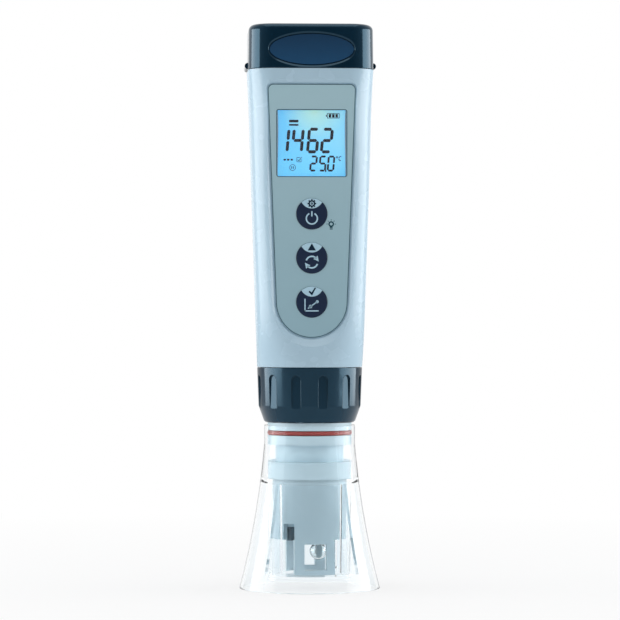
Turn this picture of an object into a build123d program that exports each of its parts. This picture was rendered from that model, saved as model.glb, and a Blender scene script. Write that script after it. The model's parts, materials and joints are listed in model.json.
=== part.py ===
from build123d import *
import os
from math import cos, exp, radians, sin

os.makedirs("parts", exist_ok=True)

# Pocket multiparameter meter standing in its clear sample cup, in millimetres.
# The origin is the centre of the cup's base, +Z runs up the meter and the display faces -Y.

# Driving dimensions of the clear sample cup
cup_height = 56.9
cup_base_r = 24.5
cup_flare_r = 18.7
cup_flare_z = 27.0
cup_neck_r = 15.8
cup_neck_length = 6.9
cup_wall = 1.0
cup_neck_depth = 18.7
cup_ledge_t = 1.6
cup_floor_z = 3.6
cup_floor_t = 1.2
tube_top_r = 14.75
tube_foot_r = 14.35
tube_wall = 1.1
gusset_count = 4
gusset_t = 1.2
gusset_foot_z = 6.0
rim_round = 0.35

# Driving dimensions of the replaceable sensor
sensor_clock = 7.0
seat_clearance = 0.2
barrel_gap = 0.4
guard_tip_gap = 0.6
guard_length = 12.0
guard_width = 13.8
guard_window_width = 7.6
guard_sill = 1.7
guard_lintel = 1.4
chamber_wall = 2.25
chamber_depth = 5.6
potting_t = 4.0
lower_land_length = 5.9
waist_length = 6.0
waist_r = 11.8
sensor_cavity_r = 9.8
flange_r = 15.9
flange_t = 2.0
plug_length = 14.4
plug_lid_t = 3.4
notch_width = 4.4
notch_height = 5.5
notch_heading = -43.0
bulb_r = 3.0
bulb_tip_clearance = 4.6
bulb_wall = 0.45
bulb_offset = (2.9, -1.5)
stem_r = 2.2
stem_length = 34.0
wire_r = 0.3
wire_foot_shift = -0.88
wire_head_shift = 0.66
wire_drop = 1.0
cell_pin_r = 1.7
cell_pin_heading = -58.0
cell_pin_circle_r = 8.4
cell_pin_reach = 6.0
sleeve_t = 0.4
sleeve_height = 1.2
probe_r = 1.5
probe_reach = 4.5
probe_heading = 165.0
junction_r = 1.75
junction_reach = 0.5
junction_heading = -130.0
inner_circle_r = 6.6
pin_r = 0.5
pin_reach = 4.5
pin_pitch = 2.54
pin_columns = 3
pin_rows = 2
header_t = 1.6

# Sealing rings
ring_section_r = 0.8
ring_groove_slack = 0.1
cup_ring_squeeze_gap = 0.05
cup_ring_drop = 2.7
plug_ring_drop = 7.2
gasket_t = 0.35
gasket_width = 1.4
gasket_gap = 0.05

# Driving dimensions of the locking collar
rim_gap = 0.9
collar_height = 19.05
collar_lip = 3.7
collar_wall = 2.05
collar_foot_r = 15.9
collar_foot_chamfer = 0.5
collar_taper_height = 5.7
collar_belly_r = 17.75
collar_bore_clearance = 0.3
collar_clock = 12.4
flute_count = 12
flute_width = 3.3
flute_depth = 0.8
flute_top_drop = 2.6
seam_gap = 0.15

# Driving dimensions of the tapered housing
housing_foot_r = 18.25
station_shares = [0, 0.06, 0.13, 0.22, 0.36, 0.6, 1]
taper_power = 1.15
round_decay = 0.088
loft_slack = 0.05
top_width = 43.3
top_front = 17.2
top_back = 18.6
top_round = 8.5
side_wall = 2.2
front_wall = 1.6
neck_r = 15.4
neck_bore_clearance = 0.2
neck_wall = 1.5
web_t = 3.0
web_bore_r = 11.0
web_drop = 1.2
mouth_depth = 7.5

# Driving dimensions of the keypad panel, its window and keys
recess_floor = 16.2
recess_bevel_run = 1.5
recess_cut = 3.0
panel_t = 0.5
panel_gap = 0.15
panel_top_drop = 5.4
panel_foot_height = 22.4
key_window_gap = 12.9
panel_foot_r = 12.25
panel_side_border = 3.2
panel_corner_r = 2.0
window_width = 23.8
window_height = 22.7
window_drop = 8.9
window_corner_r = 0.6
lens_border = 1.0
lens_t = 0.85
lens_gap = 0.05
key_r = 5.3
key_gap = 0.2
key_pitch = 15.1
key_proud = 0.3
key_edge_round = 0.25
key_flange_width = 0.8
key_flange_t = 0.8
key_stop_gap = 0.05
key_stem_r = 1.6
key_travel = 0.4
key_names = ["key_calibrate", "key_mode", "key_power"]

# Driving dimensions of the display stack and the circuit board
display_gap = 0.4
display_side_lap = 0.8
display_end_lap = 2.35
display_t = 2.3
light_t = 1.7
light_border = 3.0
stack_gap = 0.1
frame_wall = 1.0
frame_setback = 1.0
strip_height = 1.8
strip_side_gap = 1.7
board_width = 24.0
board_t = 1.6
board_foot_height = 10.0
board_screw_margin = 0.7
board_screw_rise = 3.8
board_screw_drop = 3.0
dome_r = 3.0
dome_height = 0.35
chip_width = 6.0
chip_t = 0.9
connector_width = 9.0
connector_height = 3.0
connector_t = 1.6
ribbon_width = 8.0
ribbon_t = 0.3

# Driving dimensions of the cells, their chassis and the contacts
cell_r = 5.25
cell_length = 44.5
cell_nub_r = 1.9
cell_nub_height = 0.8
cell_fit = 0.1
cell_web = 0.4
cell_top_drop = 1.5
chassis_wall = 0.9
chassis_gap = 0.2
chassis_floor_t = 1.0
contact_t = 0.3
contact_bow = 1.0
contact_width = 6.0
spine_t = 1.5
spine_width = 22.0
spine_rib = 6.0
foot_t = 2.0
foot_clearance = 0.4
foot_window_width = 12.0

# Driving dimensions of the sensor socket
socket_flange_t = 1.6
socket_fit = 0.2
socket_setback = 0.2
socket_tube_clearance = 0.12
socket_tube_wall = 0.33
socket_tube_stand = 0.8

# Driving dimensions of the battery cap
cap_height = 15.35
cap_top_inset = 0.2
cap_edge_round = 2.0
cap_wall = 1.8
cap_sole_t = 1.5
spigot_length = 7.0
spigot_fit = 0.15
spigot_wall = 1.6
cap_groove_depth = 0.8
cap_groove_height = 1.6
cap_groove_rise = 2.1
cap_seal_gap = 0.03
grip_r = 1.1
grip_length = 14.0
grip_rise = 1.4
badge_half_width = 14.4
badge_half_height = 5.2
badge_bevel = 1.1
badge_depth = 0.8
badge_t = 0.4
badge_rise = 6.4
carrier_t = 1.8
carrier_fit = 0.1
boss_r = 2.2

# Small screws, all of one kind
screw_r = 0.9
screw_head_r = 1.8
screw_head_t = 1.2
screw_bite = 1.9
screw_hole_gap = 0.05
foot_screw_inset = 1.4
carrier_screw_margin = 1.0

# Radii that fit into each other, from the cup outwards
cup_bore_r = cup_neck_r - cup_wall
tube_foot_bore_r = tube_foot_r - tube_wall
tube_top_bore_r = tube_top_r - tube_wall
land_r = cup_bore_r - seat_clearance
barrel_r = tube_foot_bore_r - barrel_gap
chamber_r = barrel_r - chamber_wall
collar_hole_r = cup_bore_r
collar_bore_r = flange_r + collar_bore_clearance
neck_bore_r = neck_r - neck_wall
plug_r = neck_bore_r - neck_bore_clearance

# Sizes that follow from what they carry
panel_top_half_width = window_width / 2 + panel_side_border
display_width = window_width + 2 * display_side_lap
display_height = window_height + 2 * display_end_lap
keys_height = key_pitch * (len(key_names) - 1)
housing_length = (
    panel_foot_height + keys_height + key_window_gap + window_height + window_drop + panel_top_drop
)

# Heights that stack on each other, from the table upwards
cup_floor_top = cup_floor_z + cup_floor_t
cup_neck_z = cup_height - cup_neck_length
cup_ledge_z = cup_height - cup_neck_depth
guard_tip_z = cup_floor_top + guard_tip_gap
barrel_mouth_z = guard_tip_z + guard_length
sensor_face_z = barrel_mouth_z + chamber_depth
potting_top_z = sensor_face_z + potting_t
waist_foot_z = cup_ledge_z + lower_land_length
waist_top_z = waist_foot_z + waist_length
collar_foot_z = cup_height + rim_gap
flange_z = collar_foot_z + collar_lip
flange_top_z = flange_z + flange_t
collar_top_z = collar_foot_z + collar_height
housing_foot_z = collar_top_z + seam_gap
neck_foot_z = flange_top_z + gasket_t + gasket_gap
plug_top_z = flange_top_z + plug_length
web_foot_z = housing_foot_z + web_drop
web_top_z = web_foot_z + web_t
housing_top_z = housing_foot_z + housing_length
mouth_foot_z = housing_top_z - mouth_depth
cap_foot_z = housing_top_z + seam_gap
cap_top_z = cap_foot_z + cap_height
spigot_foot_z = cap_foot_z - spigot_length
mouth_share = 1 - mouth_depth / housing_length
cavity_shares = [
    (web_top_z - housing_foot_z) / housing_length,
    *[share for share in station_shares if 0.1 < share < mouth_share],
    mouth_share,
]
mouth_width = 2 * housing_foot_r + (top_width - 2 * housing_foot_r) * mouth_share**taper_power - 2 * side_wall

# Distances ahead of the axis, from the panel inwards
panel_front = recess_floor + panel_t
key_front = panel_front + key_proud
wall_inside = recess_floor - front_wall
display_front = wall_inside - display_gap
display_back = display_front - display_t
light_front = display_back - stack_gap
board_front = light_front - light_t - stack_gap
board_back = board_front - board_t
chassis_front = board_back - chassis_gap
cell_pitch = 2 * cell_r + 2 * cell_fit + cell_web
first_cell_ahead = chassis_front - chassis_wall - cell_fit - cell_r
cell_block_ahead = first_cell_ahead - cell_pitch / 2
chassis_depth = cell_pitch + 2 * (cell_r + cell_fit + chassis_wall)

# Heights of the panel, window, keys, board and cells
panel_top_z = housing_top_z - panel_top_drop
panel_foot_z = housing_foot_z + panel_foot_height
window_z = panel_top_z - window_drop - window_height / 2
key_heights = [panel_foot_z + key_pitch * index for index in range(len(key_names))]
board_foot_z = housing_foot_z + board_foot_height
board_top_z = window_z + display_height / 2 + 2 * frame_wall
cell_top_z = housing_top_z - cell_top_drop
cell_foot_z = cell_top_z - cell_length
contact_foot_z = cell_foot_z - contact_t - contact_bow
chassis_floor_z = contact_foot_z - chassis_floor_t
chassis_top_z = spigot_foot_z - 2 * foot_clearance
socket_top_z = web_top_z + socket_flange_t
foot_top_z = socket_top_z + foot_t


def heading(angle):
    """Polar angle of a direction given from the front of the sensor, positive to the right."""
    return angle + sensor_clock - 90


def at_heading(angle, radius):
    """Point at a radius along a heading of the sensor."""
    turned = radians(heading(angle))
    return (radius * cos(turned), radius * sin(turned))


def upright_plane(angle):
    """Upright plane through the axis, with its local x pointing outwards at a polar angle."""
    turned = radians(angle)
    return Plane(origin=(0, 0, 0), x_dir=(cos(turned), sin(turned), 0), z_dir=(sin(turned), -cos(turned), 0))


def outward_plane(angle, radius):
    """Plane that faces outwards at a polar angle, a radius away from the axis."""
    turned = radians(angle)
    return Plane(
        origin=(radius * cos(turned), radius * sin(turned), 0),
        x_dir=(-sin(turned), cos(turned), 0),
        z_dir=(cos(turned), sin(turned), 0),
    )


def ring_section(outer_r, inner_r, foot_z, top_z):
    """Rectangular half section of a ring about the axis."""
    with BuildSketch(Plane.XZ) as section:
        with Locations((inner_r, foot_z)):
            Rectangle(outer_r - inner_r, top_z - foot_z, align=(Align.MIN, Align.MIN))
    return section.sketch


def round_ring(centre_r, centre_z):
    """Round half section of a sealing ring."""
    with BuildSketch(Plane.XZ) as section:
        with Locations((centre_r, centre_z)):
            Circle(ring_section_r)
    return section.sketch


def bell_section(plane, inset, least_r, foot_z, top_z):
    """Half section of the flared bell, inset from its outside, outside a radius and between two heights."""
    with BuildSketch(plane) as section:
        with BuildLine():
            flare = ThreePointArc(
                (cup_base_r - inset, 0),
                (cup_flare_r - inset, cup_flare_z),
                (cup_neck_r - inset, cup_neck_z),
            )
            Polyline(flare @ 1, (cup_neck_r - inset, cup_height), (0, cup_height), (0, 0), flare @ 0)
        make_face()
        with Locations((least_r, foot_z)):
            Rectangle(cup_base_r, top_z - foot_z, align=(Align.MIN, Align.MIN), mode=Mode.INTERSECT)
    return section.sketch


def tube_section(top_r, foot_r, foot_z, top_z):
    """Half section of a drafted round plug about the axis."""
    with BuildSketch(Plane.XZ) as section:
        with BuildLine():
            Polyline((0, foot_z), (foot_r, foot_z), (top_r, top_z), (0, top_z), close=True)
        make_face()
    return section.sketch


def body_section(z, width, front, back, corner):
    """Rounded rectangle across the body at a height, from its front to its back."""
    with BuildSketch(Plane.XY.offset(z)) as section:
        with Locations((0, (back - front) / 2)):
            RectangleRounded(width, front + back, corner)
    return section.sketch


def body_station(share, wall):
    """Section of the tapered body at a share of its length; with a wall, the section of its cavity."""
    corner = top_round + (housing_foot_r - loft_slack - top_round) * exp(-share / round_decay)
    width = 2 * housing_foot_r + (top_width - 2 * housing_foot_r) * share**taper_power
    front = housing_foot_r + (top_front - housing_foot_r) * share
    back = housing_foot_r + (top_back - housing_foot_r) * share
    if wall:
        front = wall_inside
    return body_section(
        housing_foot_z + housing_length * share, width - 2 * wall, front, back - wall, corner - wall
    )


def mouth_section(z, inset):
    """Section of the straight mouth of the housing at a height, inset all round."""
    with BuildSketch(Plane.XY.offset(z)) as section:
        add(body_station(cavity_shares[-1], side_wall).moved(Location((0, 0, -mouth_foot_z))))
        if inset:
            offset(amount=-inset, mode=Mode.REPLACE)
    return section.sketch


def panel_outline(ahead, grow):
    """Outline of the keypad panel on a plane ahead of the axis, grown all round."""
    corner_x = panel_top_half_width - panel_corner_r
    corner_z = panel_top_z - panel_corner_r
    with BuildSketch(Plane.XZ.offset(ahead)) as outline:
        with Locations((0, panel_foot_z)):
            Circle(panel_foot_r + grow)
        with Locations((corner_x, corner_z), (-corner_x, corner_z)):
            Circle(panel_corner_r + grow)
        make_hull()
    return outline.sketch


def upright_rectangle(ahead, centre_z, width, height):
    """Rectangle on a plane ahead of the axis."""
    with BuildSketch(Plane.XZ.offset(ahead)) as shape:
        with Locations((0, centre_z)):
            Rectangle(width, height)
    return shape.sketch


def window_outline(ahead, grow):
    """Outline of the display window on a plane ahead of the axis, grown all round."""
    with BuildSketch(Plane.XZ.offset(ahead)) as outline:
        with Locations((0, window_z)):
            RectangleRounded(window_width + 2 * grow, window_height + 2 * grow, window_corner_r + grow)
    return outline.sketch


def badge_outline(ahead, grow):
    """Oval of the cap's badge on a plane ahead of the axis, grown all round."""
    with BuildSketch(Plane.XZ.offset(ahead)) as outline:
        with Locations((0, cap_foot_z + badge_rise)):
            Ellipse(badge_half_width + grow, badge_half_height + grow)
    return outline.sketch


# Clear cup: a flared skirt, an inner tube with a floor, and a neck, in one moulding
under_ledge_z = cup_ledge_z - cup_ledge_t
with BuildPart() as sample_cup:
    revolve(bell_section(Plane.XZ, 0, 0, 0, cup_height), axis=Axis.Z)
    with BuildSketch(Plane.XZ) as under_skirt:
        add(bell_section(Plane.XZ, cup_wall, 0, 0, under_ledge_z))
        add(tube_section(tube_top_r, tube_foot_r, cup_floor_z, under_ledge_z), mode=Mode.SUBTRACT)
    revolve(axis=Axis.Z, mode=Mode.SUBTRACT)
    revolve(
        tube_section(tube_top_bore_r, tube_foot_bore_r, cup_floor_top, cup_ledge_z),
        axis=Axis.Z,
        mode=Mode.SUBTRACT,
    )
    revolve(ring_section(cup_bore_r, 0, cup_ledge_z, cup_height), axis=Axis.Z, mode=Mode.SUBTRACT)
    for index in range(gusset_count):
        gusset_plane = upright_plane(360 / gusset_count * (index + 0.5))
        extrude(
            bell_section(gusset_plane, cup_wall / 2, tube_top_r - tube_wall / 2, gusset_foot_z, under_ledge_z),
            amount=gusset_t / 2,
            both=True,
        )
    rim_edges = sample_cup.edges().filter_by(GeomType.CIRCLE)
    fillet(rim_edges.group_by(Axis.Z)[-1] + rim_edges.group_by(Axis.Z)[0], rim_round)

# Sensor: a barrel with lands that fit the cup's neck, a flange for the collar and a plug for the housing
cup_ring_z = cup_height - cup_ring_drop
cup_ring_centre_r = cup_bore_r - cup_ring_squeeze_gap - ring_section_r
plug_ring_z = plug_top_z - plug_ring_drop
plug_ring_centre_r = neck_bore_r - cup_ring_squeeze_gap / 2 - ring_section_r
groove_half = ring_section_r + ring_groove_slack
pin_spots = GridLocations(pin_pitch, pin_pitch, pin_columns, pin_rows)
with BuildPart() as sensor_body:
    with BuildSketch(Plane.XZ) as sensor_section:
        with BuildLine():
            Polyline(
                (0, barrel_mouth_z),
                (barrel_r, barrel_mouth_z),
                (barrel_r, cup_ledge_z),
                (land_r, cup_ledge_z),
                (land_r, waist_foot_z),
                (waist_r, waist_foot_z),
                (waist_r, waist_top_z),
                (land_r, waist_top_z),
                (land_r, flange_z),
                (flange_r, flange_z),
                (flange_r, flange_top_z),
                (plug_r, flange_top_z),
                (plug_r, plug_top_z),
                (0, plug_top_z),
                close=True,
            )
        make_face()
    revolve(axis=Axis.Z)
    revolve(
        ring_section(land_r, cup_ring_centre_r - ring_section_r, cup_ring_z - groove_half, cup_ring_z + groove_half),
        axis=Axis.Z,
        mode=Mode.SUBTRACT,
    )
    revolve(
        ring_section(plug_r, plug_ring_centre_r - ring_section_r, plug_ring_z - groove_half, plug_ring_z + groove_half),
        axis=Axis.Z,
        mode=Mode.SUBTRACT,
    )
    revolve(ring_section(chamber_r, 0, barrel_mouth_z, potting_top_z), axis=Axis.Z, mode=Mode.SUBTRACT)
    revolve(
        ring_section(sensor_cavity_r, 0, potting_top_z, plug_top_z - plug_lid_t),
        axis=Axis.Z,
        mode=Mode.SUBTRACT,
    )
    # Two guard fingers hang from the barrel's mouth, front and back
    with BuildSketch(Plane.XY.offset(guard_tip_z).rotated((0, 0, heading(0)))) as guard_plan:
        Circle(barrel_r)
        Circle(chamber_r, mode=Mode.SUBTRACT)
        Rectangle(3 * barrel_r, guard_width, mode=Mode.INTERSECT)
    extrude(amount=barrel_mouth_z - guard_tip_z)
    with BuildSketch(Plane.XY.offset(guard_tip_z + guard_sill).rotated((0, 0, heading(0)))) as guard_window:
        Rectangle(3 * barrel_r, guard_window_width)
    extrude(amount=barrel_mouth_z - guard_tip_z - guard_sill - guard_lintel, mode=Mode.SUBTRACT)
    # A notch in the barrel's wall bares each conductivity pin
    with BuildSketch(Plane.XY.offset(barrel_mouth_z).rotated((0, 0, heading(notch_heading)))) as notch_plan:
        Rectangle(3 * barrel_r, notch_width)
    extrude(amount=notch_height, mode=Mode.SUBTRACT)
    with BuildSketch(Plane.XY.offset(plug_top_z - plug_lid_t)) as pin_holes:
        with pin_spots:
            Circle(pin_r + screw_hole_gap)
    extrude(amount=plug_lid_t, mode=Mode.SUBTRACT)
    fillet(sensor_body.edges().filter_by(GeomType.CIRCLE).group_by(Axis.Z)[-1].sort_by(SortBy.RADIUS)[-1:], 0.6)

with BuildPart() as cup_o_ring:
    revolve(round_ring(cup_ring_centre_r, cup_ring_z), axis=Axis.Z)

with BuildPart() as plug_o_ring:
    revolve(round_ring(plug_ring_centre_r, plug_ring_z), axis=Axis.Z)

with BuildPart() as flange_gasket:
    gasket_r = (neck_r + neck_bore_r) / 2
    revolve(
        ring_section(gasket_r + gasket_width / 2, gasket_r - gasket_width / 2, flange_top_z, flange_top_z + gasket_t),
        axis=Axis.Z,
    )

# Glass electrode: a thin bulb on a stem, with its silver wire
bulb_z = guard_tip_z + bulb_tip_clearance + bulb_r
stem_x, stem_y = bulb_offset
with BuildPart() as glass_electrode:
    with Locations((stem_x, stem_y, bulb_z)):
        Sphere(bulb_r)
        Cylinder(stem_r, stem_length, align=(Align.CENTER, Align.CENTER, Align.MIN))
        Sphere(bulb_r - bulb_wall, mode=Mode.SUBTRACT)
        Cylinder(
            stem_r - bulb_wall,
            stem_length,
            align=(Align.CENTER, Align.CENTER, Align.MIN),
            mode=Mode.SUBTRACT,
        )

wire_foot = Vector(stem_x + wire_foot_shift, stem_y, bulb_z - wire_drop)
wire_head = Vector(stem_x + wire_head_shift, stem_y, bulb_z + stem_length)
with BuildPart() as silver_wire:
    with BuildSketch(Plane(origin=wire_foot, z_dir=wire_head - wire_foot)):
        Circle(wire_r)
    extrude(amount=(wire_head - wire_foot).length)

cell_pin_spots = [at_heading(cell_pin_heading, cell_pin_circle_r), at_heading(cell_pin_heading + 180, cell_pin_circle_r)]
with BuildPart() as conductivity_pins:
    with BuildSketch(Plane.XY.offset(sensor_face_z - cell_pin_reach)):
        with Locations(*cell_pin_spots):
            Circle(cell_pin_r)
    extrude(amount=cell_pin_reach + potting_t)

with BuildPart() as pin_sleeves:
    with BuildSketch(Plane.XY.offset(sensor_face_z - sleeve_height)):
        with Locations(*cell_pin_spots):
            Circle(cell_pin_r + sleeve_t)
            Circle(cell_pin_r, mode=Mode.SUBTRACT)
    extrude(amount=sleeve_height)

probe_spot = at_heading(probe_heading, inner_circle_r)
with BuildPart() as temperature_probe:
    with BuildSketch(Plane.XY.offset(sensor_face_z - probe_reach)):
        with Locations(probe_spot):
            Circle(probe_r)
    extrude(amount=probe_reach + potting_t)
    fillet(temperature_probe.edges().group_by(Axis.Z)[0], 0.8 * probe_r)

junction_spot = at_heading(junction_heading, inner_circle_r)
with BuildPart() as reference_junction:
    with BuildSketch(Plane.XY.offset(sensor_face_z - junction_reach)):
        with Locations(junction_spot):
            Circle(junction_r)
    extrude(amount=junction_reach + potting_t)

with BuildPart() as sensor_potting:
    with BuildSketch(Plane.XY.offset(sensor_face_z)):
        Circle(chamber_r)
        with Locations((stem_x, stem_y)):
            Circle(stem_r, mode=Mode.SUBTRACT)
        with Locations(*cell_pin_spots):
            Circle(cell_pin_r, mode=Mode.SUBTRACT)
        with Locations(probe_spot):
            Circle(probe_r, mode=Mode.SUBTRACT)
        with Locations(junction_spot):
            Circle(junction_r, mode=Mode.SUBTRACT)
    extrude(amount=potting_t)

header_z = plug_top_z - plug_lid_t - header_t
with BuildPart() as sensor_header:
    with BuildSketch(Plane.XY.offset(header_z)):
        Circle(sensor_cavity_r)
        with pin_spots:
            Circle(pin_r, mode=Mode.SUBTRACT)
    extrude(amount=header_t)

with BuildPart() as sensor_pins:
    with BuildSketch(Plane.XY.offset(header_z)):
        with pin_spots:
            Circle(pin_r)
    extrude(amount=header_t + plug_lid_t + pin_reach)

# Locking collar: a captive union nut with twelve finger flutes
taper_top_z = collar_foot_z + collar_taper_height
with BuildPart() as lock_collar:
    with BuildSketch(Plane.XZ) as collar_section:
        with BuildLine():
            Polyline(
                (collar_hole_r, collar_foot_z),
                (collar_foot_r - collar_foot_chamfer, collar_foot_z),
                (collar_foot_r, collar_foot_z + collar_foot_chamfer),
                (collar_belly_r, taper_top_z),
                (collar_bore_r + collar_wall, collar_top_z),
                (collar_bore_r, collar_top_z),
                (collar_bore_r, flange_z),
                (collar_hole_r, flange_z),
                close=True,
            )
        make_face()
    revolve(axis=Axis.Z)
    flute_top_z = collar_top_z - flute_top_drop
    flute_length = 2 * (flute_top_z - collar_foot_z)
    flute_floor_r = collar_bore_r + collar_wall - flute_depth
    for index in range(flute_count):
        flute_plane = outward_plane(collar_clock - 90 + 360 / flute_count * index, flute_floor_r)
        with BuildSketch(flute_plane):
            with Locations((0, flute_top_z - flute_length / 2)):
                SlotOverall(flute_length, flute_width, rotation=90)
        extrude(amount=2 * flute_depth, mode=Mode.SUBTRACT)

# Housing: a tapered sleeve that is round at its foot, open at its mouth, with a threaded neck below
foot_screw_x = web_bore_r + foot_screw_inset
foot_screw_spots = [(foot_screw_x, 0), (-foot_screw_x, 0)]
with BuildPart() as housing:
    loft([body_station(share, 0) for share in station_shares])
    loft([body_station(share, side_wall) for share in cavity_shares], mode=Mode.SUBTRACT)
    extrude(mouth_section(mouth_foot_z, 0), amount=mouth_depth, mode=Mode.SUBTRACT)
    revolve(ring_section(neck_r, 0, neck_foot_z, housing_foot_z), axis=Axis.Z)
    revolve(ring_section(neck_bore_r, 0, neck_foot_z, web_foot_z), axis=Axis.Z, mode=Mode.SUBTRACT)
    revolve(ring_section(web_bore_r, 0, web_foot_z, web_top_z), axis=Axis.Z, mode=Mode.SUBTRACT)
    # A flat recess with a sloping border takes the panel
    loft(
        [
            panel_outline(recess_floor, panel_gap),
            panel_outline(recess_floor + recess_cut, panel_gap + recess_cut * recess_bevel_run),
        ],
        ruled=True,
        mode=Mode.SUBTRACT,
    )
    extrude(window_outline(recess_floor, lens_border), amount=-lens_t - lens_gap, mode=Mode.SUBTRACT)
    extrude(window_outline(recess_floor, 0), amount=-front_wall, mode=Mode.SUBTRACT)
    with BuildSketch(Plane.XZ.offset(recess_floor)) as key_holes:
        for key_z in key_heights:
            with Locations((0, key_z)):
                Circle(key_r + key_gap)
    extrude(amount=-front_wall, mode=Mode.SUBTRACT)
    with BuildSketch(Plane.XY.offset(web_top_z)) as pilot_holes:
        with Locations(*foot_screw_spots):
            Circle(screw_r)
    extrude(amount=-screw_bite, mode=Mode.SUBTRACT)

# Keypad panel with openings for the display window and the keys
with BuildPart() as keypad_panel:
    extrude(panel_outline(recess_floor, 0), amount=panel_t)
    extrude(window_outline(recess_floor, 0), amount=panel_t, mode=Mode.SUBTRACT)
    with BuildSketch(Plane.XZ.offset(recess_floor)) as panel_holes:
        for key_z in key_heights:
            with Locations((0, key_z)):
                Circle(key_r + key_gap / 2)
    extrude(amount=panel_t, mode=Mode.SUBTRACT)

with BuildPart() as display_window:
    extrude(window_outline(recess_floor, lens_border - lens_gap), amount=-lens_t)

# Three keys, each held behind the wall by its flange and standing over its snap dome
dome_top = board_front + dome_height
keys = {}
for key_name, key_z in zip(key_names, key_heights):
    with BuildPart() as key:
        with BuildSketch(Plane.XZ.offset(key_front)):
            with Locations((0, key_z)):
                Circle(key_r)
        extrude(amount=wall_inside - key_front)
        with BuildSketch(Plane.XZ.offset(wall_inside - key_stop_gap)):
            with Locations((0, key_z)):
                Circle(key_r + key_flange_width)
        extrude(amount=-key_flange_t)
        with BuildSketch(Plane.XZ.offset(wall_inside)):
            with Locations((0, key_z)):
                Circle(key_stem_r)
        extrude(amount=dome_top + key_travel + key_stop_gap - wall_inside)
        fillet(key.edges().filter_by(GeomType.CIRCLE).sort_by(Axis.Y)[:1], key_edge_round)
    keys[key_name] = key

# Display stack between the front wall and the circuit board
with BuildPart() as lcd_glass:
    extrude(upright_rectangle(display_front, window_z, display_width, display_height), amount=-display_t)

with BuildPart() as backlight:
    extrude(
        upright_rectangle(light_front, window_z, display_width - stack_gap, display_height - 2 * light_border),
        amount=-light_t,
    )

with BuildPart() as display_frame:
    frame_front = display_front - frame_setback
    frame_depth = frame_front - board_front
    frame_room = 2 * stack_gap
    extrude(
        upright_rectangle(
            board_front,
            window_z,
            display_width + frame_room + 2 * frame_wall,
            display_height + frame_room + 2 * frame_wall,
        ),
        amount=frame_depth,
    )
    extrude(
        upright_rectangle(board_front, window_z, display_width + frame_room, display_height + frame_room),
        amount=frame_depth,
        mode=Mode.SUBTRACT,
    )

with BuildPart() as elastomer_strips:
    strip_shift = display_height / 2 - strip_height / 2 - frame_room
    for strip_z in (window_z - strip_shift, window_z + strip_shift):
        strip_width = display_width - 2 * strip_side_gap
        extrude(upright_rectangle(board_front, strip_z, strip_width, strip_height), amount=display_back - board_front)

# Circuit board with its snap domes, chip, ribbon connector and screws
board_centre_z = (board_foot_z + board_top_z) / 2
board_screw_x = board_width / 2 - screw_head_r - board_screw_margin
board_screw_heights = [board_foot_z + board_screw_rise, chassis_floor_z - board_screw_drop]
board_screw_spots = [(side * board_screw_x, z) for side in (-1, 1) for z in board_screw_heights]
with BuildPart() as circuit_board:
    with BuildSketch(Plane.XZ.offset(board_front)):
        with Locations((0, board_centre_z)):
            Rectangle(board_width, board_top_z - board_foot_z)
        with Locations(*board_screw_spots):
            Circle(screw_r + screw_hole_gap, mode=Mode.SUBTRACT)
    extrude(amount=-board_t)

with BuildPart() as snap_domes:
    with BuildSketch(Plane.XZ.offset(board_front)):
        for key_z in key_heights:
            with Locations((0, key_z)):
                Circle(dome_r)
    extrude(amount=dome_height, taper=45)

with BuildPart() as processor_chip:
    extrude(
        upright_rectangle(board_front, (key_heights[0] + key_heights[1]) / 2, chip_width, chip_width),
        amount=chip_t,
    )

connector_z = board_foot_z + connector_height / 2
with BuildPart() as ribbon_connector:
    extrude(upright_rectangle(board_front, connector_z, connector_width, connector_height), amount=connector_t)

with BuildPart() as board_screws:
    with BuildSketch(Plane.XZ.offset(board_front)):
        with Locations(*board_screw_spots):
            Circle(screw_head_r)
    extrude(amount=screw_head_t)
    with BuildSketch(Plane.XZ.offset(board_front)):
        with Locations(*board_screw_spots):
            Circle(screw_r)
    extrude(amount=-board_t - chassis_gap - spine_t - screw_bite)

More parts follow.
